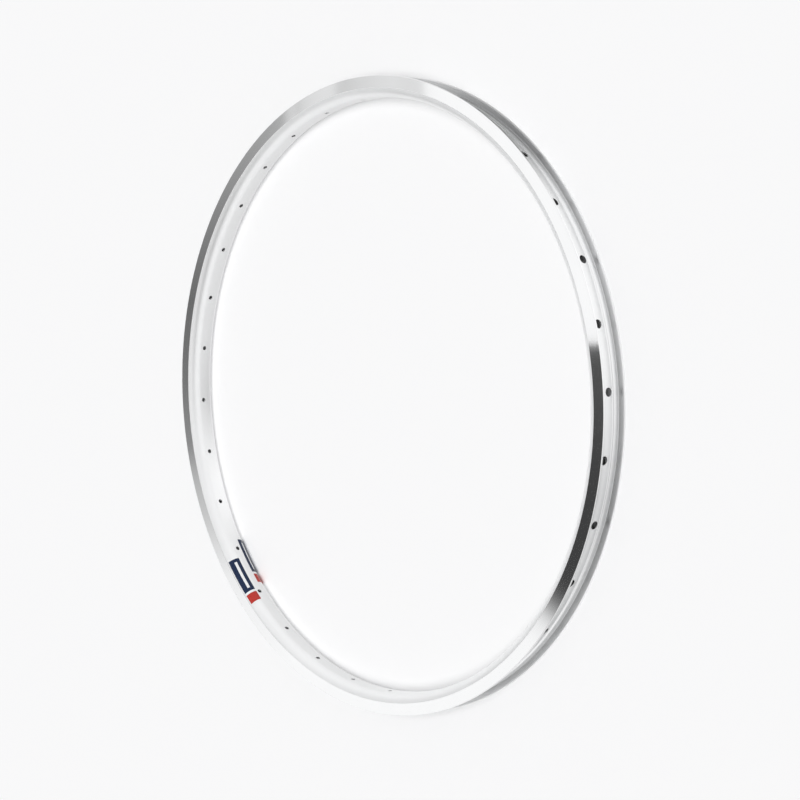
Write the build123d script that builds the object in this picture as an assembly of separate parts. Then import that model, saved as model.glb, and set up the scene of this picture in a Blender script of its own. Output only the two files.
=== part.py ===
"""A double-wall bicycle rim of size 622, lying flat with the wheel's axis along +Z and the valve hole on +X.

The hoop is one aluminium section rolled round and drilled. The section is drawn with x as the distance
from the wheel's axis and y as the distance from the rim's middle plane. All sizes are in millimetres.
"""

import os
from math import cos, degrees, radians, sin, tan

from build123d import *

# Hoop
bead_seat_diameter = 622.0
flange_height = 6.5  # from the bead seat out to the crest
rim_width = 29.0  # across the two brake tracks
rim_depth = 21.1  # from the crest in to the spoke bed

# Brake tracks
track_height = 12.0
crest_bevel = 0.5

# Hooked flanges
flange_wall = 1.5
flange_draft = 0.35  # how much thicker a flange is at the bead seat
hook_reach = 0.7  # how far the hook stands in over the bead seat
hook_height = 2.1  # from the crest in to the hook's foot
hook_tip = 0.9  # from the crest in to where the hook reaches furthest

# Drilling
spoke_count = 32
spoke_lean = 8.0  # degrees, to one side and the other by turns
nipple_hole = 4.5  # diameter through the spoke bed
access_hole = 8.0  # diameter through the tyre bed
valve_hole = 6.5
drill_overrun = 6.0

# Underside: a level spoke bed, and shoulders that round up to the tracks in narrow flats
spoke_bed_margin = 1.75  # level bed beyond the nipple holes
shoulder_flats = 4
spoke_bed_wall = 1.9

# Tyre bed: a level well between two bead shelves
shelf_fall = 0.45  # from the flange in to the well
well_margin = 0.5  # level floor beyond the access holes
well_slope = 1.3  # run of the slope from the floor up to a shelf
well_depth = 1.6
tyre_bed_wall = 1.2

# Chamber between the two beds
side_wall = 1.3
shoulder_wall = 1.3

# Stickers, one on each side of the spoke holes
film = 0.2
glue_line = 0.02  # between the film and the metal
sticker_length = 56.5  # along the spoke bed
sticker_edge_gap = 0.45  # from the plane of the brake track
sticker_hole_gap = 2.3  # from the spoke holes
sticker_place = -90.0  # degrees round from the valve hole
sticker_shift = 11.4  # along the spoke bed, each sticker its own way

# Distances from the wheel's axis
bead_seat_r = bead_seat_diameter / 2
crest_r = bead_seat_r + flange_height
spoke_bed_r = crest_r - rim_depth
nipple_seat_r = spoke_bed_r + spoke_bed_wall
track_inner_r = crest_r - track_height
well_r = bead_seat_r - well_depth
chamber_roof_r = well_r - tyre_bed_wall

# Distances from the middle plane
half_width = rim_width / 2
access_stagger = (well_r - nipple_seat_r) * tan(radians(spoke_lean))
spoke_bed_half = nipple_hole / 2 + spoke_bed_margin
well_floor_half = access_hole / 2 + access_stagger + well_margin
well_half = well_floor_half + well_slope
chamber_half = half_width - side_wall


def both_sides(corners):
    """Straight edges through corners on one side of the section, with their mirror on the other side."""
    side = Polyline(corners)
    return [side, mirror(side, about=Plane.XZ)]


def level(radius, half):
    """A level bed across the middle plane, reaching half its width to each side."""
    return Line((radius, half), (radius, -half))


def shoulder_arc():
    """The arc that leaves the spoke bed level and rounds up to the inner edge of a brake track."""
    return TangentArc((spoke_bed_r, spoke_bed_half), (track_inner_r, half_width), tangent=(0, 1))


def shoulder_corners(lift=0.0):
    """Corners of the shoulder's flats, spaced evenly along its arc and lifted off it by a distance."""
    arc = shoulder_arc()
    centre = arc.arc_center
    corners = [arc @ (flat / shoulder_flats) for flat in range(shoulder_flats + 1)]
    return [centre + (corner - centre) * (1 + lift / arc.radius) for corner in corners]


def hoop_outline():
    """Outer outline: underside, brake tracks, bevelled crests, hooks, flanges, bead shelves and well."""
    flange_z = half_width - flange_wall
    spoke_bed = level(spoke_bed_r, spoke_bed_half)
    well = level(well_r, well_floor_half)
    crest = [
        (crest_r - crest_bevel, half_width),
        (crest_r, half_width - crest_bevel),
        (crest_r, flange_z),
        (crest_r - hook_tip, flange_z - hook_reach),
        (crest_r - hook_height, flange_z),
        (bead_seat_r, flange_z - flange_draft),
        (bead_seat_r - shelf_fall, well_half),
    ]
    return make_face([spoke_bed, well] + both_sides(shoulder_corners() + crest + [well @ 0]))


def chamber_outline():
    """The hollow between the beds: its floor, sides and roof follow the spoke bed, shoulders and tyre bed."""
    arc = shoulder_arc()
    middle = arc.arc_center + (arc @ 0.5 - arc.arc_center) * (1 - shoulder_wall / arc.radius)
    shelf_r = bead_seat_r - tyre_bed_wall
    floor = level(nipple_seat_r, spoke_bed_half)
    roof = level(chamber_roof_r, well_floor_half)
    sides = [
        floor @ 0,
        middle,
        (track_inner_r, chamber_half),
        (shelf_r, chamber_half),
        (shelf_r - shelf_fall, well_half),
        roof @ 0,
    ]
    return make_face([floor, roof] + both_sides(sides))


def drill(diameter, start, stop):
    """A straight drill along +Z, between two distances from its plane."""
    return Pos(Z=start) * Cylinder(diameter / 2, stop - start, align=(Align.CENTER, Align.CENTER, Align.MIN))


def spoke_drill(index):
    """Stepped drill of one spoke, through the middle of its nipple seat and leaning towards a hub flange."""
    angle = radians((index + 0.5) * 360 / spoke_count)
    lean = radians(spoke_lean if index % 2 else -spoke_lean)
    outward = (cos(lean) * cos(angle), cos(lean) * sin(angle), sin(lean))
    seat = Plane((nipple_seat_r * cos(angle), nipple_seat_r * sin(angle), 0), z_dir=outward)
    step = (chamber_roof_r - nipple_seat_r) / 2
    nipple = drill(nipple_hole, -spoke_bed_wall - drill_overrun, step)
    access = drill(access_hole, step, well_r - nipple_seat_r + drill_overrun)
    return seat * (nipple + access)


def valve_drill():
    """Straight drill through both beds on +X, midway between two spokes."""
    return Plane.YZ * drill(valve_hole, spoke_bed_r - drill_overrun, well_r + drill_overrun)


def make_rim():
    """The rolled section with its chamber, drilled for the spokes and the valve."""
    section = hoop_outline() - chamber_outline()
    hoop = revolve(Plane.XZ * section, axis=Axis.Z, revolution_arc=360)
    return hoop - [spoke_drill(index) for index in range(spoke_count)] - valve_drill()


def make_sticker(side):
    """A film on one shoulder, between the spoke holes and the brake track; side is 1 or -1."""
    near_z = nipple_hole / 2 + sticker_hole_gap
    far_z = half_width - sticker_edge_gap
    under = shoulder_corners(glue_line)
    over = shoulder_corners(glue_line + film)
    band = make_face(Polyline(under + over[::-1], close=True))
    reach = rim_depth + glue_line + film
    cut = Pos(crest_r, (near_z + far_z) / 2) * Rectangle(2 * reach, far_z - near_z)
    strip = band & cut
    if side < 0:
        strip = mirror(strip, about=Plane.XZ)
    span = degrees(sticker_length / spoke_bed_r)
    centre = sticker_place + side * degrees(sticker_shift / spoke_bed_r)
    patch = revolve(Plane.XZ * strip, axis=Axis.Z, revolution_arc=span)
    return Rot(0, 0, centre - span / 2) * patch


os.makedirs("parts", exist_ok=True)
export_step(make_rim(), "parts/rim.step")
export_step(make_sticker(1), "parts/sticker_upper.step")
export_step(make_sticker(-1), "parts/sticker_lower.step")
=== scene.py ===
"""Looks of a double-wall bicycle rim that lies flat, with its axis along +Z and its valve hole on +X.

The hoop is worked out as one closed surface: strips that carry the section's runs round the axis, and patches
with a hole in them where the section is drilled. Two printed films lie on its shoulders. Sizes are in metres.
"""

from math import asin, atan2, cos, pi, radians, sin, tan

import bmesh
import bpy
import numpy as np
from bpy.props import FloatProperty, FloatVectorProperty, IntProperty, PointerProperty
from mathutils import Matrix, Vector


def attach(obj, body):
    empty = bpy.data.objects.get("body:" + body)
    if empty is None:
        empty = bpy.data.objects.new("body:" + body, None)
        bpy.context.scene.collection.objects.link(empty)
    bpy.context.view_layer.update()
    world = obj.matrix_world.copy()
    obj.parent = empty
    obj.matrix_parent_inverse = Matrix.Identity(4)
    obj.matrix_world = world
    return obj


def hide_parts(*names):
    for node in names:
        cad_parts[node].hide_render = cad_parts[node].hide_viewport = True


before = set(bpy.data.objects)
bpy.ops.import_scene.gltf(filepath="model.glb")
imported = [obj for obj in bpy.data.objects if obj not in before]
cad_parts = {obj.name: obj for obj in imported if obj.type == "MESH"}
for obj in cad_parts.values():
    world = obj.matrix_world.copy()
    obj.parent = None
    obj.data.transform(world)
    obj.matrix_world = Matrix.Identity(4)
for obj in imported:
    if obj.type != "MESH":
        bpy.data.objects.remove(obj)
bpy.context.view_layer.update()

bl_info = {
    "name": "Bicycle Rim",
    "version": (1, 0, 0),
    "blender": (4, 5, 0),
    "location": "View3D > Sidebar > Rim",
    "description": "Builds a drilled double-wall rim, its two printed films and a plain studio",
    "category": "Add Mesh",
}

MM = 0.001
WELD = 0.7e-6  # points closer than this become one
SECTOR_STEPS = 20  # points round the hoop from one spoke hole to the next
PATCH_STEPS = 8  # points along a drilled patch, round the hoop
BED_STEPS = 8  # points across a drilled patch
PATCH_RINGS = 4  # rows of points from a hole's edge out to the patch's border
RING_CROWDING = 1.5  # above one, those rows lie closer together at the hole
SHOULDER_STEPS = 12
ROUND_STEPS = 3
HOOK_STEPS = 6
FILLET_STEPS = 4
SLOPE_STEPS = 6
FILM_STEPS_ACROSS = 12
FILM_STEPS_ALONG = 24
CARD_STEPS = 96  # faces of a round card, round the axis

# Metal: how far off a plane still counts as on it, and how the painted shade on the flanges' inner walls
# changes
TRACK_SKIN = 0.02 * MM
WALL_SKIN = 0.05 * MM
FOOT_RISE = 0.2 * MM  # the painted shade on the inner walls comes in over this much of the wall, from the bead seat out
PAINTED_SHADE_LOSS = 0.7  # share of the painted shade that is lost from the bead seat to the crest

# Metal: how much haze, draw lines, turning marks and grain change the colour, the roughness and the relief
HAZE_SCALE = 24.0  # patches in a metre
GRAIN_SCALE = 2600.0
HAZE_TINT = (0.05, 0.965)  # change, and the least share of the colour
DRAW_ROUGHNESS = 0.12
HAZE_ROUGHNESS = 0.06
GROOVE_ROUGHNESS = 0.04
TRACK_HAZE_ROUGHNESS = 0.02
GRAIN_RELIEF = 0.5
METAL_BUMP = 0.05

# Film: places of the print as shares of its length and width, and how much its mottle changes
BLOCK_START = 0.8
GAP_ALONG = (0.75, BLOCK_START)
BAR_ALONG = (0.07, 0.68)
BAR_ACROSS = (0.42, 0.68)
MOTTLE_SCALE = 400.0  # patches in a metre
INK_TINT = (0.12, 0.92)  # change, and the least share of the colour
INK_ROUGHNESS = (0.08, 0.24)  # change, and the least roughness
FILM_BUMP = 0.04

BUMP_HEIGHT = 0.02 * MM
SENSOR_WIDTH = 36.0  # millimetres
FLOOR_CARD_HEIGHT = -0.0143  # just over the floor
CARD_EDGE = 0.95  # grey level of a card without its tones

# Upright cards that the metal mirrors: (left, right, low, high) across and up, how much of the way across
# and of the way up counts for the tones, and the tones as (place, grey level)
CARD_HEADING = -129.0  # degrees round from the valve hole
CARD_DISTANCE = 2.0  # from the wheel's axis
CARDS = {
    "dark_card": (
        (-0.038, 1.3, 2.2, 3.6),
        (-1.159, 1.0),
        (
            (1.42, 1.0),
            (1.46, 0.95),
            (1.503, 0.91),
            (1.547, 0.72),
            (1.591, 0.37),
            (1.634, 0.16),
            (1.679, 0.07),
            (1.724, 0.052),
            (2.2, 0.055),
            (2.45, 0.075),
            (2.6, 0.085),
        ),
    ),
    "step_card": (
        (-0.054, -0.038, 2.2, 3.6),
        (0.0, 1.0),
        ((2.2, 0.13), (3.6, 0.13)),
    ),
    "pale_card": (
        (-1.3, -0.35, 1.45, 1.966),
        (0.0, 1.0),
        (
            (1.45, 0.36),
            (1.518, 0.42),
            (1.522, 0.66),
            (1.545, 0.74),
            (1.562, 0.56),
            (1.575, 0.74),
            (1.677, 0.82),
            (1.683, 0.58),
            (1.76, 0.71),
            (1.86, 0.78),
            (1.966, 0.7),
        ),
    ),
    "grey_card": (
        (-1.3, 0.66, 1.1, 1.45),
        (1.0, 0.0),
        (
            (-0.57, 0.36),
            (-0.47, 0.3),
            (-0.34, 0.22),
            (-0.19, 0.15),
            (-0.03, 0.18),
            (0.13, 0.27),
            (0.2, 0.47),
            (0.29, 0.6),
            (0.44, 0.9),
            (0.66, 1.0),
        ),
    ),
    "low_card": (
        (0.1, 1.0, 0.1, 1.1),
        (1.0, 0.0),
        ((0.1, 1.0), (0.3, 0.3), (0.42, 0.06), (0.7, 0.06), (0.85, 0.5), (1.0, 1.0)),
    ),
}

# Round cards that the metal mirrors: points of the profile as (distance from the axis, height), the strength
# of the tones along the profile as (share, strength), and the tones round the axis as (degrees, grey level)
ROUND_CARDS = {
    "shade_over_camera": (
        ((6.3, 4.93), (5.56, 5.75), (4.7, 6.47), (3.76, 7.06), (2.74, 7.52), (1.66, 7.83), (0.56, 7.98)),
        ((0.0, 0.0), (0.12, 1.0), (0.42, 1.0), (0.6, 0.4), (0.74, 0.0), (1.0, 0.0)),
        (
            (-90.0, 0.35),
            (-34.0, 0.2),
            (9.0, 0.28),
            (38.0, 0.52),
            (60.0, 0.68),
            (85.0, 0.97),
            (122.0, 0.95),
            (140.0, 0.8),
            (152.0, 0.75),
            (180.0, 0.95),
        ),
    ),
    "floor_inside": (
        ((0.2, FLOOR_CARD_HEIGHT), (0.305, FLOOR_CARD_HEIGHT)),
        ((0.0, 0.0), (0.5, 0.0), (0.66, 1.0), (0.91, 1.0), (0.97, 0.0), (1.0, 0.0)),
        (
            (110.0, 0.93),
            (130.0, 0.76),
            (150.0, 0.76),
            (170.0, 0.76),
            (212.0, 0.74),
            (230.0, 0.63),
            (239.0, 0.85),
            (246.0, 1.04),
            (253.0, 1.02),
            (262.0, 0.82),
            (276.0, 0.78),
            (305.0, 0.8),
            (330.0, 0.95),
            (470.0, 0.93),
        ),
    ),
    "floor_outside": (
        ((0.319, FLOOR_CARD_HEIGHT), (0.42, FLOOR_CARD_HEIGHT)),
        ((0.0, 0.0), (0.015, 0.0), (0.065, 1.0), (0.6, 1.0), (1.0, 0.0)),
        (
            (-20.0, 0.9),
            (14.0, 0.56),
            (33.0, 0.48),
            (45.0, 0.86),
            (56.0, 1.05),
            (66.0, 1.12),
            (84.0, 1.1),
            (93.0, 0.55),
            (99.0, 0.15),
            (107.0, 0.15),
            (122.0, 0.5),
            (140.0, 0.85),
            (160.0, 0.95),
        ),
    ),
    "shade_beside_channel": (
        ((0.365, 0.0), (0.365, 0.045)),
        ((0.0, 0.0), (0.15, 1.0), (0.75, 1.0), (1.0, 0.0)),
        ((86.0, 0.95), (94.0, 0.8), (101.0, 0.3), (106.0, 0.12), (124.0, 0.12), (132.0, 0.95)),
    ),
}

# Smooth runs of the hoop and of a film: edges between two different runs are sharp
UNDERSIDE, TRACK, BEVEL, CREST, HOOK, CHANNEL, CHAMBER, BORE, DEBURR = range(0, 90, 10)
FILM_BACK, FILM_FACE, FILM_EDGE = range(0, 30, 10)


def length(name, description, default):
    """A size in metres, given in millimetres."""
    return FloatProperty(name=name, description=description, default=default * MM, unit="LENGTH")


def angle_value(name, description, default):
    """An angle, given in degrees."""
    return FloatProperty(name=name, description=description, default=radians(default), subtype="ANGLE")


def factor_value(name, description, default):
    """A number from nought to one."""
    return FloatProperty(name=name, description=description, default=default, subtype="FACTOR")


def colour_value(name, description, default):
    """A colour."""
    return FloatVectorProperty(name=name, description=description, default=default, subtype="COLOR")


def place_value(name, description, default):
    """A place in metres."""
    return FloatVectorProperty(name=name, description=description, default=default, unit="LENGTH")


class RimSizes(bpy.types.PropertyGroup):
    """Sizes of the hoop's section and drilling."""

    bead_seat: length("Bead seat", "Diameter that the tyre's bead sits on", 622.0)
    flange_height: length("Flange height", "From the bead seat out to the crest", 6.5)
    width: length("Width", "Across the two brake tracks", 29.0)
    depth: length("Depth", "From the crest in to the spoke bed", 21.1)
    track_height: length("Track height", "From the crest in to the track's inner edge", 12.0)
    crest_bevel: length("Crest bevel", "Bevel between track and crest", 0.5)
    flange_wall: length("Flange wall", "Thickness of a flange", 1.5)
    flange_draft: length("Flange draft", "How much thicker a flange is at the bead seat", 0.35)
    hook_reach: length("Hook reach", "How far a hook stands in over the bead seat", 0.7)
    hook_height: length("Hook height", "From the crest in to the hook's foot", 2.1)
    hook_tip: length("Hook tip", "From the crest in to where the hook reaches furthest", 0.9)
    seat_fillet: length("Seat fillet", "Radius between flange and bead seat", 0.7)
    spoke_bed_half: length("Half spoke bed", "Half the width of the level spoke bed", 4.0)
    spoke_bed_wall: length("Spoke bed wall", "Thickness of the spoke bed", 1.9)
    shelf_fall: length("Shelf fall", "Fall of a bead shelf from its flange in to the well", 0.45)
    well_depth: length("Well depth", "From the bead seat in to the well's floor", 1.6)
    well_margin: length("Well margin", "Level floor beyond the access holes", 0.5)
    well_slope: length("Well slope", "Run of the slope from the floor up to the bead seat", 1.3)
    tyre_bed_wall: length("Tyre bed wall", "Thickness of the tyre bed", 1.2)
    side_wall: length("Side wall", "Thickness of the chamber's sides", 1.3)
    shoulder_wall: length("Shoulder wall", "Thickness of the shoulders", 1.3)
    nipple_hole: length("Nipple hole", "Diameter through the spoke bed", 4.5)
    access_hole: length("Access hole", "Diameter through the tyre bed", 8.0)
    valve_hole: length("Valve hole", "Diameter through both beds", 6.5)
    deburr: length("Deburr", "Broken edge of a drilled hole", 0.2)
    spoke_count: IntProperty(name="Spokes", description="Spoke holes round the hoop", default=32)
    spoke_lean: angle_value("Spoke lean", "Lean of the drilling, by turns", 8.0)


class FilmSizes(bpy.types.PropertyGroup):
    """Sizes and colours of the two printed films."""

    film: length("Film", "Thickness", 0.2)
    glue: length("Glue line", "Between the film and the metal", 0.02)
    span: length("Length", "Along the spoke bed", 56.5)
    edge_gap: length("Edge gap", "From the plane of the brake track", 0.45)
    hole_gap: length("Hole gap", "From the spoke holes", 2.3)
    shift: length("Shift", "Along the spoke bed, each film its own way", 11.4)
    place: angle_value("Place", "Round from the valve hole", -90.0)
    navy: colour_value("Navy", "Colour of the panel", (0.004, 0.016, 0.055))
    red: colour_value("Red", "Colour of the end block", (0.46, 0.032, 0.022))
    white: colour_value("White", "Colour of the bar and the gap", (0.82, 0.83, 0.84))


class MetalFinish(bpy.types.PropertyGroup):
    """Finish of the aluminium, and the painted shade on the flanges' inner walls."""

    satin: colour_value("Satin", "Colour of the satin section", (0.945, 0.95, 0.955))
    bright: colour_value("Bright", "Colour of the machined tracks", (0.95, 0.955, 0.96))
    satin_roughness: factor_value("Satin roughness", "Roughness of the underside", 0.42)
    channel_roughness: factor_value("Channel roughness", "Roughness between the flanges", 0.28)
    bright_roughness: factor_value("Bright roughness", "Roughness of the tracks", 0.04)
    # Painted shade: how much darker the colour of the flanges' inner walls is made, in place of the channel's
    # dark reflections and shade
    painted_wall_shade: factor_value("Dulling", "How much duller the flanges' inner walls are", 0.45)
    groove_pitch: length("Groove pitch", "Spacing of the turning marks on the tracks", 0.22)
    draw_pitch: length("Draw line pitch", "Spacing of the draw lines along the section", 0.5)


class StudioSettings(bpy.types.PropertyGroup):
    """Settings of the camera, the floor and the light."""

    camera_place: place_value("Camera", "Where the camera stands", (0.85404, 1.10922, 1.21122))
    camera_aim: place_value("Aim", "Point in the middle of the picture", (0.02527, 0.02482, 0.00041))
    camera_roll: angle_value("Roll", "Turn of the camera about its line of sight", 93.926)
    lens: FloatProperty(name="Lens", description="Focal length in millimetres", default=83.05)
    floor_size: FloatProperty(name="Floor", description="Side of the floor", default=16.0, unit="LENGTH")
    floor_colour: colour_value("Floor colour", "Colour of the floor", (0.93, 0.93, 0.935))
    world_level: factor_value("World", "Light of the white surround on the scene", 0.43)
    lamp_power: FloatProperty(name="Lamp", description="Strength of the soft lamp", default=2.03)
    lamp_spread: angle_value("Lamp spread", "Width of the lamp", 40.0)
    lamp_heading: angle_value("Lamp heading", "Where the lamp stands round the rim", 52.0)
    lamp_height: angle_value("Lamp height", "How high the lamp stands", 65.0)


class RimSection:
    """Distances of the section, from its sizes: r from the wheel's axis and z from the middle plane."""

    def __init__(self, sizes):
        self.sizes = sizes
        self.half = sizes.width / 2
        self.seat_r = sizes.bead_seat / 2
        self.crest_r = self.seat_r + sizes.flange_height
        self.bed_r = self.crest_r - sizes.depth
        self.floor_r = self.bed_r + sizes.spoke_bed_wall
        self.track_r = self.crest_r - sizes.track_height
        self.well_r = self.seat_r - sizes.well_depth
        self.roof_r = self.well_r - sizes.tyre_bed_wall
        self.bed_half = sizes.spoke_bed_half
        stagger = (self.well_r - self.floor_r) * tan(sizes.spoke_lean)
        self.well_half = sizes.access_hole / 2 + stagger + sizes.well_margin
        self.slope_half = self.well_half + sizes.well_slope
        rise = self.track_r - self.bed_r
        run = self.half - self.bed_half
        self.shoulder_radius = (rise**2 + run**2) / (2 * rise)
        self.shoulder_turn = asin(run / self.shoulder_radius)

    def shoulder(self, share, lift=0.0):
        """Points on the arc from the spoke bed up to a track, at a share of its turn and lifted off it."""
        turn = self.shoulder_turn * np.asarray(share)
        reach = self.shoulder_radius + lift
        r = self.bed_r + self.shoulder_radius - reach * np.cos(turn)
        return np.stack((r, self.bed_half + reach * np.sin(turn)), -1)

    def hook(self):
        """Arc through the crest's inner edge, the hook's tip and its foot: a circle through three points."""
        sizes = self.sizes
        flange_z = self.half - sizes.flange_wall
        low = np.array((self.crest_r, flange_z))
        tip = np.array((self.crest_r - sizes.hook_tip, flange_z - sizes.hook_reach))
        foot = np.array((self.crest_r - sizes.hook_height, flange_z))
        middle_r = (low[0] + foot[0]) / 2
        # the centre lies level with the chord's middle, as far out as makes both radii equal
        tip_rise, low_rise = tip[0] - middle_r, low[0] - middle_r
        offset = (tip_rise**2 + sizes.hook_reach**2 - low_rise**2) / (2 * sizes.hook_reach)
        centre = np.array((middle_r, flange_z - offset))
        start = atan2(low[1] - centre[1], low[0] - centre[0])
        stop = atan2(foot[1] - centre[1], foot[0] - centre[0])
        if stop > start:
            stop -= 2 * pi
        angle = np.linspace(start, stop, HOOK_STEPS + 1)
        radius = np.hypot(*(low - centre))
        return centre + radius * np.stack((np.cos(angle), np.sin(angle)), -1)

    def channel(self):
        """Flange wall, round fillet, bead shelf, and a slope that eases down to the well as half a cosine.

        The fillet's centre lies on the line that halves the corner between wall and shelf, and its arc turns
        from square to the wall round to square to the shelf.
        """
        sizes = self.sizes
        flange_z = self.half - sizes.flange_wall
        foot = np.array((self.crest_r - sizes.hook_height, flange_z))
        corner = np.array((self.seat_r, flange_z - sizes.flange_draft))
        shelf_r = self.seat_r - sizes.shelf_fall
        wall = (foot - corner) / np.hypot(*(foot - corner))
        shelf = np.array((shelf_r, self.slope_half)) - corner
        shelf /= np.hypot(*shelf)
        middle = (wall + shelf) / np.hypot(*(wall + shelf))
        half_corner = np.arccos(wall @ middle)
        centre = corner + middle * sizes.seat_fillet / sin(half_corner)
        facing = atan2(-middle[1], -middle[0])
        turn = facing + np.linspace(half_corner - pi / 2, pi / 2 - half_corner, FILLET_STEPS + 1)
        fillet = centre + sizes.seat_fillet * np.stack((np.cos(turn), np.sin(turn)), -1)
        if np.hypot(*(fillet[0] - foot)) > np.hypot(*(fillet[-1] - foot)):
            fillet = fillet[::-1]
        ease = np.linspace(0, 1, SLOPE_STEPS + 1)
        slope = np.stack(
            (
                shelf_r - (shelf_r - self.well_r) * (1 - np.cos(pi * ease)) / 2,
                self.slope_half - (self.slope_half - self.well_half) * ease,
            ),
            -1,
        )
        return np.concatenate((foot[None], fillet, slope))

    def crest_round(self):
        """Quarter circle from a track round to the crest, as high as the bevel that it takes the place of."""
        radius = self.sizes.crest_bevel
        turn = np.linspace(0, pi / 2, ROUND_STEPS + 1)
        return np.stack(
            (self.crest_r - radius * (1 - np.sin(turn)), self.half - radius * (1 - np.cos(turn))), -1
        )

    def runs(self):
        """The runs of one side of the section, each with the number of its smooth run."""
        sizes = self.sizes
        flange_z = self.half - sizes.flange_wall
        bevel_r = self.crest_r - sizes.crest_bevel
        bevel_z = self.half - sizes.crest_bevel
        shelf_r = self.seat_r - sizes.tyre_bed_wall
        side_z = self.half - sizes.side_wall
        shoulder_middle = self.shoulder(0.5, -sizes.shoulder_wall)
        corners = [
            (self.floor_r, self.bed_half),
            shoulder_middle,
            (self.track_r, side_z),
            (shelf_r, side_z),
            (shelf_r - sizes.shelf_fall, self.slope_half),
            (self.roof_r, self.well_half),
        ]
        chamber = [
            (CHAMBER + 1 + number, np.array(pair, float))
            for number, pair in enumerate(zip(corners[:-1], corners[1:]))
        ]
        return [
            (UNDERSIDE, self.shoulder(np.linspace(0, 1, SHOULDER_STEPS + 1))),
            (TRACK, np.array(((self.track_r, self.half), (bevel_r, self.half)))),
            (BEVEL, self.crest_round()),
            (CREST, np.array(((self.crest_r, bevel_z), (self.crest_r, flange_z)))),
            (HOOK, self.hook()),
            (CHANNEL, self.channel()),
        ] + chamber


def grid_quads(rows, columns, closed=False):
    """Faces of a grid of points numbered row by row, closed along its columns if asked."""
    row, column = np.meshgrid(np.arange(rows - 1), np.arange(columns - (not closed)), indexing="ij")
    after = (column + 1) % columns
    low, high = row * columns, (row + 1) * columns
    return np.stack((low + column, low + after, high + after, high + column), -1).reshape(-1, 4)


class Shell:
    """Grids of points gathered into one surface, each with the number of its smooth run."""

    def __init__(self):
        self.points = []
        self.quads = []
        self.runs = []
        self.count = 0

    def add(self, grid, run, closed=False):
        """Add a grid of points, rows by columns by three, closed along its columns if asked."""
        rows, columns = grid.shape[:2]
        quads = grid_quads(rows, columns, closed) + self.count
        self.points.append(grid.reshape(-1, 3))
        self.quads.append(quads)
        self.runs.append(np.full(len(quads), run))
        self.count += rows * columns

    def mesh(self, name):
        """One closed mesh: points welded, faces turned outwards, and edges between two runs made sharp."""
        points = np.concatenate(self.points)
        quads = np.concatenate(self.quads)
        runs = np.concatenate(self.runs)
        cells = np.round(points / WELD).astype(np.int64)
        _, first, back = np.unique(cells, axis=0, return_index=True, return_inverse=True)
        quads = back.reshape(-1)[quads]
        mesh = bpy.data.meshes.new(name)
        mesh.from_pydata(points[first], [], quads)
        build = bmesh.new()
        build.from_mesh(mesh)
        bmesh.ops.recalc_face_normals(build, faces=build.faces)
        open_edges = sum(not edge.is_manifold for edge in build.edges)
        build.to_mesh(mesh)
        build.free()
        if open_edges:
            raise RuntimeError(f"{name} has {open_edges} open edges")
        mesh.polygons.foreach_set("use_smooth", np.ones(len(runs), bool))
        edge_of_loop = np.empty(len(mesh.loops), np.int32)
        mesh.loops.foreach_get("edge_index", edge_of_loop)
        run_of_loop = np.repeat(runs, 4)
        lowest = np.full(len(mesh.edges), runs.max())
        highest = np.full(len(mesh.edges), runs.min())
        np.minimum.at(lowest, edge_of_loop, run_of_loop)
        np.maximum.at(highest, edge_of_loop, run_of_loop)
        sharp = mesh.attributes.new("sharp_edge", "BOOLEAN", "EDGE")
        sharp.data.foreach_set("value", lowest != highest)
        return mesh


def spun(profile, angles):
    """A profile of r and z carried round the axis: (r cos a, r sin a, z) for each point and angle."""
    r, z = profile[:, 0, None], profile[:, 1, None]
    turn = np.asarray(angles)[None, :]
    return np.stack((r * np.cos(turn), r * np.sin(turn), z + 0 * turn), -1)


def rolled(radius, along, across, angle):
    """Points of a level bed: along is measured round the hoop from an angle, and across is z."""
    turn = angle + along / radius
    return np.stack((radius * np.cos(turn), radius * np.sin(turn), across), -1)


def bore_edge(bed_r, seat_r, bore_r, lean, turn):
    """Edge of a leaning bore on a level bed, as along and across, for angles round the bore.

    The bore's axis goes through seat_r in the middle plane. A point of its wall is the axis's point at a
    distance w, plus bore_r times (cos turn, sin turn) square to the axis, and w is chosen so that the
    point lies at bed_r from the wheel's axis.
    """
    sideways = bore_r * np.cos(turn)
    raised = bore_r * np.sin(turn)
    outward = np.sqrt(bed_r**2 - sideways**2)
    w = (outward - seat_r + raised * sin(lean)) / cos(lean)
    return bed_r * np.arctan2(sideways, outward), raised * cos(lean) + w * sin(lean)


def patch_border(bed_r, half, step):
    """Border of a drilled patch as along and across, once round from a corner."""
    reach = bed_r * step * PATCH_STEPS / 2
    along = np.linspace(-reach, reach, PATCH_STEPS + 1)[:-1]
    across = np.linspace(-half, half, BED_STEPS + 1)[:-1]
    low, high = np.full(PATCH_STEPS, -half), np.full(BED_STEPS, reach)
    return np.concatenate((along, high, -along, -high)), np.concatenate((low, across, -low, -across))


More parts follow.
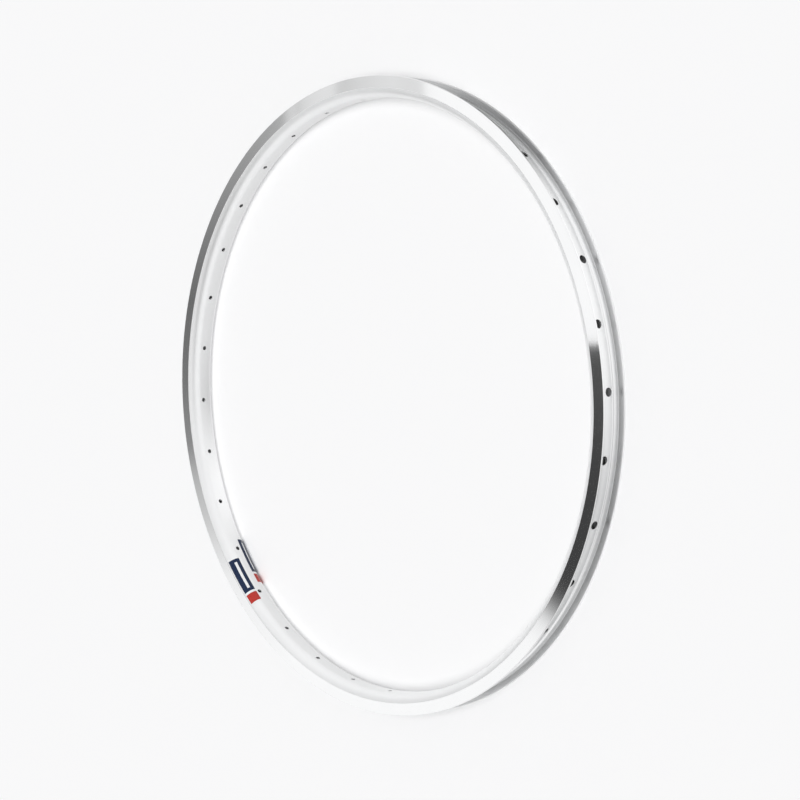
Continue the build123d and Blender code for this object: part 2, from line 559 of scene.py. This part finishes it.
def add_bore(shell, section, inner, outer, bore_r, lean, angle, inner_bare, step):
    """A drilled wall: a patch with a hole on each of its two faces, and the bore between them.

    inner and outer are (radius, half width, run) of the two level beds. The patch's rows go straight from
    the hole's edge out to the border. The bare face's edge is broken by a small bevel.
    """
    seat_r = section.floor_r
    deburr = section.sizes.deburr
    border = patch_border(outer[0], outer[1], step)
    middle = bore_edge(outer[0], seat_r, bore_r, lean, np.array((pi / 2, -pi / 2)))[1].mean()
    turn = np.arctan2(border[1] - middle, border[0])
    share = (np.linspace(0, 1, PATCH_RINGS + 1) ** RING_CROWDING)[:, None]
    for bed_r, half, run in (inner, outer):
        bare = (bed_r == inner[0]) == inner_bare
        edge = bore_edge(bed_r, seat_r, bore_r + deburr * bare, lean, turn)
        rim = patch_border(bed_r, half, step)
        along = edge[0] + (rim[0] - edge[0]) * share
        across = edge[1] + (rim[1] - edge[1]) * share
        shell.add(rolled(bed_r, along, across, angle), run, closed=True)
    bare_r, hidden_r = (inner[0], outer[0]) if inner_bare else (outer[0], inner[0])
    broken_r = bare_r + (deburr if inner_bare else -deburr)
    rows = [
        rolled(radius, *bore_edge(radius, seat_r, size, lean, turn), angle)
        for radius, size in ((bare_r, bore_r + deburr), (broken_r, bore_r), (hidden_r, bore_r))
    ]
    shell.add(np.stack(rows[:2]), DEBURR, closed=True)
    shell.add(np.stack(rows[1:]), BORE, closed=True)


def add_plain(shell, bed, angle, steps, step):
    """A stretch of level bed with no hole, from an angle on."""
    bed_r, half, run = bed
    profile = np.stack((np.full(BED_STEPS + 1, bed_r), np.linspace(-half, half, BED_STEPS + 1)), -1)
    shell.add(spun(profile, angle + step * np.arange(steps + 1)), run)


def hoop_mesh(sizes):
    """The hoop: strips of its section on both sides, drilled beds, and plain bed between the holes."""
    section = RimSection(sizes)
    count = sizes.spoke_count
    step = 2 * pi / (count * SECTOR_STEPS)
    angles = step * np.arange(count * SECTOR_STEPS)
    shell = Shell()
    for run, profile in section.runs():
        for side in (1, -1):
            shell.add(spun(profile * (1, side), angles), run, closed=True)
    spoke_bed = (section.bed_r, section.bed_half, UNDERSIDE)
    floor = (section.floor_r, section.bed_half, CHAMBER)
    roof = (section.roof_r, section.well_half, CHAMBER)
    well = (section.well_r, section.well_half, CHANNEL)
    plain_steps = SECTOR_STEPS - PATCH_STEPS
    valve_steps = (plain_steps - PATCH_STEPS) // 2
    for spoke in range(count):
        angle = (spoke + 0.5) * SECTOR_STEPS * step
        lean = sizes.spoke_lean if spoke % 2 else -sizes.spoke_lean
        add_bore(shell, section, spoke_bed, floor, sizes.nipple_hole / 2, lean, angle, True, step)
        add_bore(shell, section, roof, well, sizes.access_hole / 2, lean, angle, False, step)
        after = angle + PATCH_STEPS / 2 * step
        for bed in (spoke_bed, floor, roof, well):
            if spoke < count - 1:
                add_plain(shell, bed, after, plain_steps, step)
            else:
                add_plain(shell, bed, after, valve_steps, step)
                add_plain(shell, bed, after + (valve_steps + PATCH_STEPS) * step, valve_steps, step)
    add_bore(shell, section, spoke_bed, floor, sizes.valve_hole / 2, 0.0, 0.0, True, step)
    add_bore(shell, section, roof, well, sizes.valve_hole / 2, 0.0, 0.0, False, step)
    return shell.mesh("rim_hoop")


def film_mesh(sizes, film, side, name):
    """A film on one shoulder: the shoulder's arc, lifted twice, carried round over the film's length.

    Its chart gives each point's share of the length, by the angle, and of the width, by the height.
    """
    section = RimSection(sizes)
    near_z = sizes.nipple_hole / 2 + film.hole_gap
    far_z = section.half - film.edge_gap
    low = asin((near_z - section.bed_half) / section.shoulder_radius) / section.shoulder_turn
    high = asin((far_z - section.bed_half) / section.shoulder_radius) / section.shoulder_turn
    share = np.linspace(low, high, FILM_STEPS_ACROSS + 1)
    reach = film.span / section.bed_r
    start = film.place + side * film.shift / section.bed_r - reach / 2
    angles = start + reach * np.linspace(0, 1, FILM_STEPS_ALONG + 1)
    mirror = np.array((1, 1, side))
    under = spun(section.shoulder(share, film.glue), angles) * mirror
    over = spun(section.shoulder(share, film.glue + film.film), angles) * mirror
    shell = Shell()
    shell.add(under, FILM_BACK)
    shell.add(over, FILM_FACE)
    for edge in (np.s_[0, :], np.s_[-1, :], np.s_[:, 0], np.s_[:, -1]):
        shell.add(np.stack((under[edge], over[edge])), FILM_EDGE)
    mesh = shell.mesh(name)
    points = np.empty(len(mesh.vertices) * 3)
    mesh.vertices.foreach_get("co", points)
    x, y, z = points.reshape(-1, 3).T
    along = (np.arctan2(y, x) - start + pi) % (2 * pi) - pi
    uv = np.stack((along / reach, (np.abs(z) - near_z) / (far_z - near_z)), -1)
    corner = np.empty(len(mesh.loops), np.int32)
    mesh.loops.foreach_get("vertex_index", corner)
    layer = mesh.uv_layers.new(name="film")
    layer.uv.foreach_set("vector", uv[corner].ravel())
    return mesh


def placed(mesh):
    """The mesh as an object at the origin, riding with the rim."""
    piece = bpy.data.objects.new(mesh.name, mesh)
    bpy.context.scene.collection.objects.link(piece)
    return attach(piece, "root")


class Nodes:
    """A short way to add and join nodes in one tree."""

    def __init__(self, tree):
        self.tree = tree
        tree.nodes.clear()

    def add(self, kind, values=None, **settings):
        """A node of one kind, with its settings, and values of its input sockets by name or number."""
        node = self.tree.nodes.new(kind)
        for key, value in settings.items():
            setattr(node, key, value)
        for key, value in (values or {}).items():
            if isinstance(value, bpy.types.NodeSocket):
                self.tree.links.new(value, node.inputs[key])
            else:
                node.inputs[key].default_value = value
        return node

    def math(self, operation, first, second=0.0, third=0.0, clamp=False):
        """The value of one sum."""
        values = {0: first, 1: second, 2: third}
        return self.add("ShaderNodeMath", values, operation=operation, use_clamp=clamp).outputs[0]

    def line(self, value, slope, start, clamp=False):
        """A straight line: start, plus slope times the value."""
        return self.math("MULTIPLY_ADD", value, slope, start, clamp)

    def blend(self, factor, first, second):
        """A value between two, by a factor."""
        return self.add("ShaderNodeMix", {0: factor, 2: first, 3: second}).outputs[0]

    def mix(self, factor, first, second):
        """A colour between two, by a factor."""
        return self.add("ShaderNodeMix", {0: factor, 6: first, 7: second}, data_type="RGBA").outputs[2]

    def scaled(self, colour, amount):
        """A colour times an amount."""
        return self.add("ShaderNodeVectorMath", {0: colour, "Scale": amount}, operation="SCALE").outputs[0]

    def noise(self, place, scale, detail=2.0, roughness=0.5):
        """Noise from nought to one, with so many patches in a metre."""
        values = {"Vector": place, "Scale": scale, "Detail": detail, "Roughness": roughness}
        return self.add("ShaderNodeTexNoise", values).outputs["Fac"]

    def bump(self, height, strength):
        """The normal of a surface with a fine relief."""
        values = {"Height": height, "Strength": strength, "Distance": BUMP_HEIGHT}
        return self.add("ShaderNodeBump", values).outputs[0]

    def axis_distance(self, place):
        """How far a place is from the wheel's axis: the length of its x and y."""
        flat = self.add("ShaderNodeVectorMath", {0: place, 1: (1, 1, 0)}, operation="MULTIPLY").outputs[0]
        return self.add("ShaderNodeVectorMath", {0: flat}, operation="LENGTH").outputs["Value"]

    def chart(self, name):
        """The two ways of a chart."""
        place = self.add("ShaderNodeUVMap", uv_map=name).outputs[0]
        split = self.add("ShaderNodeSeparateXYZ", {0: place}).outputs
        return split[0], split[1]

    def unscattered(self, path):
        """One on a light path that has met no matt surface yet, and nought after that."""
        return self.math("LESS_THAN", path["Diffuse Depth"], 0.5)

    def share(self, value, low, high):
        """How far a value has come from low to high, as nought to one."""
        return self.add("ShaderNodeMapRange", {"Value": value, "From Min": low, "From Max": high}).outputs[0]

    def between(self, value, low, high):
        """One inside a range of values and nought outside."""
        above = self.math("GREATER_THAN", value, low)
        below = self.math("LESS_THAN", value, high)
        return self.math("MULTIPLY", above, below)


def new_material(name):
    """An empty material and its nodes."""
    material = bpy.data.materials.new(name)
    material.use_nodes = True
    return material, Nodes(material.node_tree)


def opaque(colour):
    """A colour with full alpha."""
    return (*colour, 1.0)


def grey(level):
    """A grey with full alpha."""
    return (level, level, level, 1.0)


def round_lines_group():
    """Lines that run round the hoop: noise over the distance from the axis and from the middle plane."""
    group = bpy.data.node_groups.new("round_lines", "ShaderNodeTree")
    group.interface.new_socket("Pitch", in_out="INPUT", socket_type="NodeSocketFloat")
    group.interface.new_socket("Height", in_out="OUTPUT", socket_type="NodeSocketFloat")
    nodes = Nodes(group)
    pitch = nodes.add("NodeGroupInput").outputs["Pitch"]
    place = nodes.add("ShaderNodeTexCoord").outputs["Object"]
    radius = nodes.axis_distance(place)
    height = nodes.add("ShaderNodeSeparateXYZ", {0: place}).outputs[2]
    section = nodes.add("ShaderNodeCombineXYZ", {0: radius, 1: height}).outputs[0]
    noise = nodes.noise(section, nodes.math("DIVIDE", 1.0, pitch), roughness=0.6)
    nodes.add("NodeGroupOutput", {"Height": noise})
    return group


def metal_material(sizes, finish):
    """Satin aluminium with draw lines, and bright tracks with turning marks where the section is widest.

    The flanges' inner walls carry a painted shade, darkest at the bead seat and less so towards the crest.
    The channel between the flanges is smoother than the underside.
    """
    material, nodes = new_material("satin_and_machined_aluminium_with_painted_shade")
    half, seat = sizes.width / 2, sizes.bead_seat / 2
    place = nodes.add("ShaderNodeTexCoord").outputs["Object"]
    radius = nodes.axis_distance(place)
    height = nodes.math("ABSOLUTE", nodes.add("ShaderNodeSeparateXYZ", {0: place}).outputs[2])
    lines = round_lines_group()
    draw = nodes.add("ShaderNodeGroup", {"Pitch": finish.draw_pitch}, node_tree=lines).outputs[0]
    grooves = nodes.add("ShaderNodeGroup", {"Pitch": finish.groove_pitch}, node_tree=lines).outputs[0]
    haze = nodes.noise(place, HAZE_SCALE, detail=3.0, roughness=0.55)
    grain = nodes.noise(place, GRAIN_SCALE)

    track = nodes.math("GREATER_THAN", height, half - TRACK_SKIN)
    shade = nodes.mix(track, opaque(finish.satin), opaque(finish.bright))
    haze_and_painted_shade = nodes.line(haze, *HAZE_TINT, clamp=True)
    # Painted shade: the colour of the flanges' inner walls is darkened, most at the bead seat and less
    # towards the crest
    inner_side = nodes.math("LESS_THAN", height, half - sizes.flange_wall + WALL_SKIN)
    foot = nodes.share(radius, seat, seat + FOOT_RISE)
    fading = nodes.line(nodes.share(radius, seat, seat + sizes.flange_height), -PAINTED_SHADE_LOSS, 1.0)
    painted_shade = nodes.math("MULTIPLY", nodes.math("MULTIPLY", foot, fading), inner_side)
    haze_and_painted_shade = nodes.math("MULTIPLY", haze_and_painted_shade, nodes.line(painted_shade, -finish.painted_wall_shade, 1.0))

    channel = nodes.math("GREATER_THAN", radius, seat - sizes.well_depth - sizes.tyre_bed_wall / 2)
    smoother = finish.channel_roughness - finish.satin_roughness
    satin_rough = nodes.line(channel, smoother, finish.satin_roughness - DRAW_ROUGHNESS / 2)
    satin_rough = nodes.line(draw, DRAW_ROUGHNESS, satin_rough)
    satin_rough = nodes.line(haze, HAZE_ROUGHNESS, satin_rough)
    bright_rough = nodes.line(grooves, GROOVE_ROUGHNESS, finish.bright_roughness - GROOVE_ROUGHNESS / 2)
    bright_rough = nodes.line(haze, TRACK_HAZE_ROUGHNESS, bright_rough)
    relief = nodes.blend(track, nodes.line(grain, GRAIN_RELIEF, draw), grooves)
    surface = nodes.add(
        "ShaderNodeBsdfPrincipled",
        {
            "Base Color": nodes.scaled(shade, haze_and_painted_shade),
            "Metallic": 1.0,
            "Roughness": nodes.blend(track, satin_rough, bright_rough),
            "Normal": nodes.bump(relief, METAL_BUMP),
        },
    )
    nodes.add("ShaderNodeOutputMaterial", {"Surface": surface.outputs[0]})
    return material


def film_material(film):
    """Glossy printed film: a navy panel with a white bar in it, a white gap and a red block at one end."""
    material, nodes = new_material("printed_film")
    along, across = nodes.chart("film")
    mottle = nodes.noise(nodes.add("ShaderNodeTexCoord").outputs["Object"], MOTTLE_SCALE)
    block = nodes.math("GREATER_THAN", along, BLOCK_START)
    bar = nodes.math("MULTIPLY", nodes.between(across, *BAR_ACROSS), nodes.between(along, *BAR_ALONG))
    white = nodes.math("MAXIMUM", bar, nodes.between(along, *GAP_ALONG))
    base = nodes.mix(block, opaque(film.navy), opaque(film.red))
    ink = nodes.mix(white, base, opaque(film.white))
    surface = nodes.add(
        "ShaderNodeBsdfPrincipled",
        {
            "Base Color": nodes.scaled(ink, nodes.line(mottle, *INK_TINT)),
            "Roughness": nodes.line(mottle, *INK_ROUGHNESS),
            "Specular IOR Level": 0.3,
            "Normal": nodes.bump(mottle, FILM_BUMP),
        },
    )
    nodes.add("ShaderNodeOutputMaterial", {"Surface": surface.outputs[0]})
    return material


class RIM_OT_build_hoop(bpy.types.Operator):
    """Build the drilled hoop in its satin and machined finish, with painted shade on the flanges' inner walls
    """

    bl_idname = "rim.build_hoop"
    bl_label = "Build Hoop"

    def execute(self, context):
        scene = context.scene
        hoop = placed(hoop_mesh(scene.rim_sizes))
        hoop.data.materials.append(metal_material(scene.rim_sizes, scene.rim_finish))
        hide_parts("rim")
        return {"FINISHED"}


class RIM_OT_build_films(bpy.types.Operator):
    """Build the two printed films on the hoop's shoulders"""

    bl_idname = "rim.build_films"
    bl_label = "Build Films"

    def execute(self, context):
        scene = context.scene
        material = film_material(scene.rim_film)
        for side, node in ((1, "sticker_upper"), (-1, "sticker_lower")):
            film = placed(film_mesh(scene.rim_sizes, scene.rim_film, side, "printed_" + node))
            film.data.materials.append(material)
            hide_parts(node)
        return {"FINISHED"}


def stage_sheet(name, grid, material):
    """A sheet through a grid of points that belongs to the studio, with a chart from 0 to 1 both ways."""
    rows, columns = grid.shape[:2]
    quads = grid_quads(rows, columns)
    mesh = bpy.data.meshes.new(name)
    mesh.from_pydata(grid.reshape(-1, 3), [], quads)
    chart = np.stack(np.meshgrid(np.linspace(0, 1, columns), np.linspace(0, 1, rows)), -1).reshape(-1, 2)
    mesh.uv_layers.new(name="chart").uv.foreach_set("vector", chart[quads].ravel())
    mesh.materials.append(material)
    sheet = bpy.data.objects.new(name, mesh)
    bpy.context.scene.collection.objects.link(sheet)
    return sheet


def floor_material(studio):
    """Matt pale floor."""
    material, nodes = new_material("pale_floor")
    surface = nodes.add(
        "ShaderNodeBsdfPrincipled",
        {"Base Color": opaque(studio.floor_colour), "Roughness": 0.9, "Specular IOR Level": 0.0},
    )
    nodes.add("ShaderNodeOutputMaterial", {"Surface": surface.outputs[0]})
    return material


def set_camera(studio):
    """A camera that looks from its place at its aim, rolled about its line of sight."""
    place, aim = Vector(studio.camera_place), Vector(studio.camera_aim)
    ahead = (aim - place).normalized()
    side = ahead.cross(Vector((0, 0, 1))).normalized()
    level_up = side.cross(ahead)
    up = level_up * cos(studio.camera_roll) + side * sin(studio.camera_roll)
    right = ahead.cross(up)
    data = bpy.data.cameras.new("photo_camera")
    data.sensor_fit = "HORIZONTAL"
    data.sensor_width = SENSOR_WIDTH
    data.lens = studio.lens
    camera = bpy.data.objects.new("photo_camera", data)
    bpy.context.scene.collection.objects.link(camera)
    camera.matrix_world = Matrix.Translation(place) @ Matrix((right, up, -ahead)).transposed().to_4x4()
    bpy.context.scene.camera = camera


def set_world(studio):
    """A white surround, seen and mirrored at full white, that lights the scene at its own level."""
    world = bpy.data.worlds.new("white_surround")
    world.use_nodes = True
    nodes = Nodes(world.node_tree)
    path = nodes.add("ShaderNodeLightPath").outputs
    seen = nodes.math("MAXIMUM", path["Is Camera Ray"], path["Is Glossy Ray"])
    seen = nodes.math("MAXIMUM", seen, path["Is Transmission Ray"])
    seen = nodes.math("MULTIPLY", seen, nodes.unscattered(path))
    level = nodes.math("MAXIMUM", seen, studio.world_level)
    light = nodes.add("ShaderNodeBackground", {"Color": grey(1.0), "Strength": level})
    nodes.add("ShaderNodeOutputWorld", {"Surface": light.outputs[0]})
    bpy.context.scene.world = world


def tone_ramp(nodes, share, tones):
    """Grey tones over a share from 0 to 1, which stands for places from the first tone to the last."""
    ramp = nodes.add("ShaderNodeValToRGB", {0: share})
    stops = ramp.color_ramp.elements
    stops.remove(stops[1])
    low, high = tones[0][0], tones[-1][0]
    for number, (place, level) in enumerate(tones):
        position = (place - low) / (high - low)
        stop = stops.new(position) if number else stops[0]
        stop.position = position
        stop.color = grey(level)
    return ramp.outputs[0]


def flat_tone(nodes, over, up, edges, parts, tones):
    """Tone of a flat card: its place is one part of the way across plus another part of the way up."""
    left, right, low, high = edges
    over_part, up_part = parts
    start, stop = tones[0][0], tones[-1][0]
    first = (over_part * left + up_part * low - start) / (stop - start)
    share = nodes.line(over, over_part * (right - left) / (stop - start), first)
    share = nodes.line(up, up_part * (high - low) / (stop - start), share)
    return tone_ramp(nodes, share, tones)


def round_tone(nodes, over, up, strengths, tones):
    """Tone of a round card: a tone by the way round, as strong as the way along the profile says."""
    strength = tone_ramp(nodes, up, strengths)
    return nodes.mix(strength, grey(CARD_EDGE), tone_ramp(nodes, over, tones))


def set_card(name, grid, tone, *choices):
    """A card in grey tones, which shows in mirror-like surfaces and nowhere else.

    The metal throws the card's edge level on the floor, so that the tones leave no shade there.
    """
    material, nodes = new_material(name)
    over, up = nodes.chart("chart")
    mirrored = nodes.unscattered(nodes.add("ShaderNodeLightPath").outputs)
    level = nodes.mix(mirrored, grey(CARD_EDGE), tone(nodes, over, up, *choices))
    glow = nodes.add("ShaderNodeEmission", {"Color": level})
    nodes.add("ShaderNodeOutputMaterial", {"Surface": glow.outputs[0]})
    sheet = stage_sheet(name, grid, material)
    sheet.visible_camera = False
    sheet.visible_diffuse = False
    sheet.visible_transmission = False
    sheet.visible_shadow = False


def set_flat_cards():
    """Upright flat cards beyond the rim, whose tones change across, up or both ways at once."""
    away = np.array((cos(radians(CARD_HEADING)), sin(radians(CARD_HEADING)), 0.0))
    across = np.array((-away[1], away[0], 0.0))
    upright = np.array((0.0, 0.0, 1.0))
    for name, (edges, parts, tones) in CARDS.items():
        u, v = np.meshgrid(edges[:2], edges[2:])
        grid = away * CARD_DISTANCE + across * u[..., None] + upright * v[..., None]
        set_card(name, grid, flat_tone, edges, parts, tones)


def set_round_cards():
    """Cards carried round the axis, whose tones change round it and fade along the profile."""
    for name, (profile, strengths, tones) in ROUND_CARDS.items():
        degrees = np.linspace(tones[0][0], tones[-1][0], CARD_STEPS + 1)
        grid = spun(np.array(profile), np.radians(degrees))
        set_card(name, grid, round_tone, strengths, tones)


def set_lamp(studio):
    """One far soft lamp on the camera's side, which the metal doesn't mirror."""
    data = bpy.data.lights.new("soft_lamp", "SUN")
    data.angle = studio.lamp_spread
    data.energy = studio.lamp_power
    lamp = bpy.data.objects.new("soft_lamp", data)
    bpy.context.scene.collection.objects.link(lamp)
    lamp.location = studio.camera_place
    towards = Vector((-cos(studio.lamp_heading), -sin(studio.lamp_heading), -tan(studio.lamp_height)))
    lamp.rotation_euler = towards.to_track_quat("-Z", "Y").to_euler()
    lamp.visible_glossy = False


class RIM_OT_set_studio(bpy.types.Operator):
    """Set the floor, the light, the cards and the camera"""

    bl_idname = "rim.set_studio"
    bl_label = "Set Studio"

    def execute(self, context):
        studio = context.scene.rim_studio
        reach = studio.floor_size / 2
        low = -context.scene.rim_sizes.width / 2
        x, y = np.meshgrid((-reach, reach), (-reach, reach))
        stage_sheet("floor", np.stack((x, y, 0 * x + low), -1), floor_material(studio))
        set_world(studio)
        set_lamp(studio)
        set_flat_cards()
        set_round_cards()
        set_camera(studio)
        context.scene.view_settings.view_transform = "Standard"
        return {"FINISHED"}


class RIM_PT_sidebar(bpy.types.Panel):
    """The rim's steps and sizes in the sidebar"""

    bl_label = "Bicycle Rim"
    bl_space_type = "VIEW_3D"
    bl_region_type = "UI"
    bl_category = "Rim"

    def draw(self, context):
        for operator in OPERATORS:
            self.layout.operator(operator.bl_idname)
        for group in GROUPS:
            box = self.layout.box()
            settings = getattr(context.scene, group)
            for key in settings.bl_rna.properties.keys():
                if key not in ("rna_type", "name"):
                    box.prop(settings, key)


OPERATORS = (RIM_OT_build_hoop, RIM_OT_build_films, RIM_OT_set_studio)
GROUPS = {
    "rim_sizes": RimSizes,
    "rim_film": FilmSizes,
    "rim_finish": MetalFinish,
    "rim_studio": StudioSettings,
}
CLASSES = (*GROUPS.values(), *OPERATORS, RIM_PT_sidebar)


def register():
    """Add the rim's settings, steps and panel to Blender."""
    for part in CLASSES:
        bpy.utils.register_class(part)
    for name, group in GROUPS.items():
        setattr(bpy.types.Scene, name, PointerProperty(type=group))


def unregister():
    """Take them out again."""
    for name in GROUPS:
        delattr(bpy.types.Scene, name)
    for part in reversed(CLASSES):
        bpy.utils.unregister_class(part)


def main():
    """Build the rim and its studio."""
    register()
    bpy.ops.rim.build_hoop()
    bpy.ops.rim.build_films()
    bpy.ops.rim.set_studio()


if __name__ == "__main__":
    main()
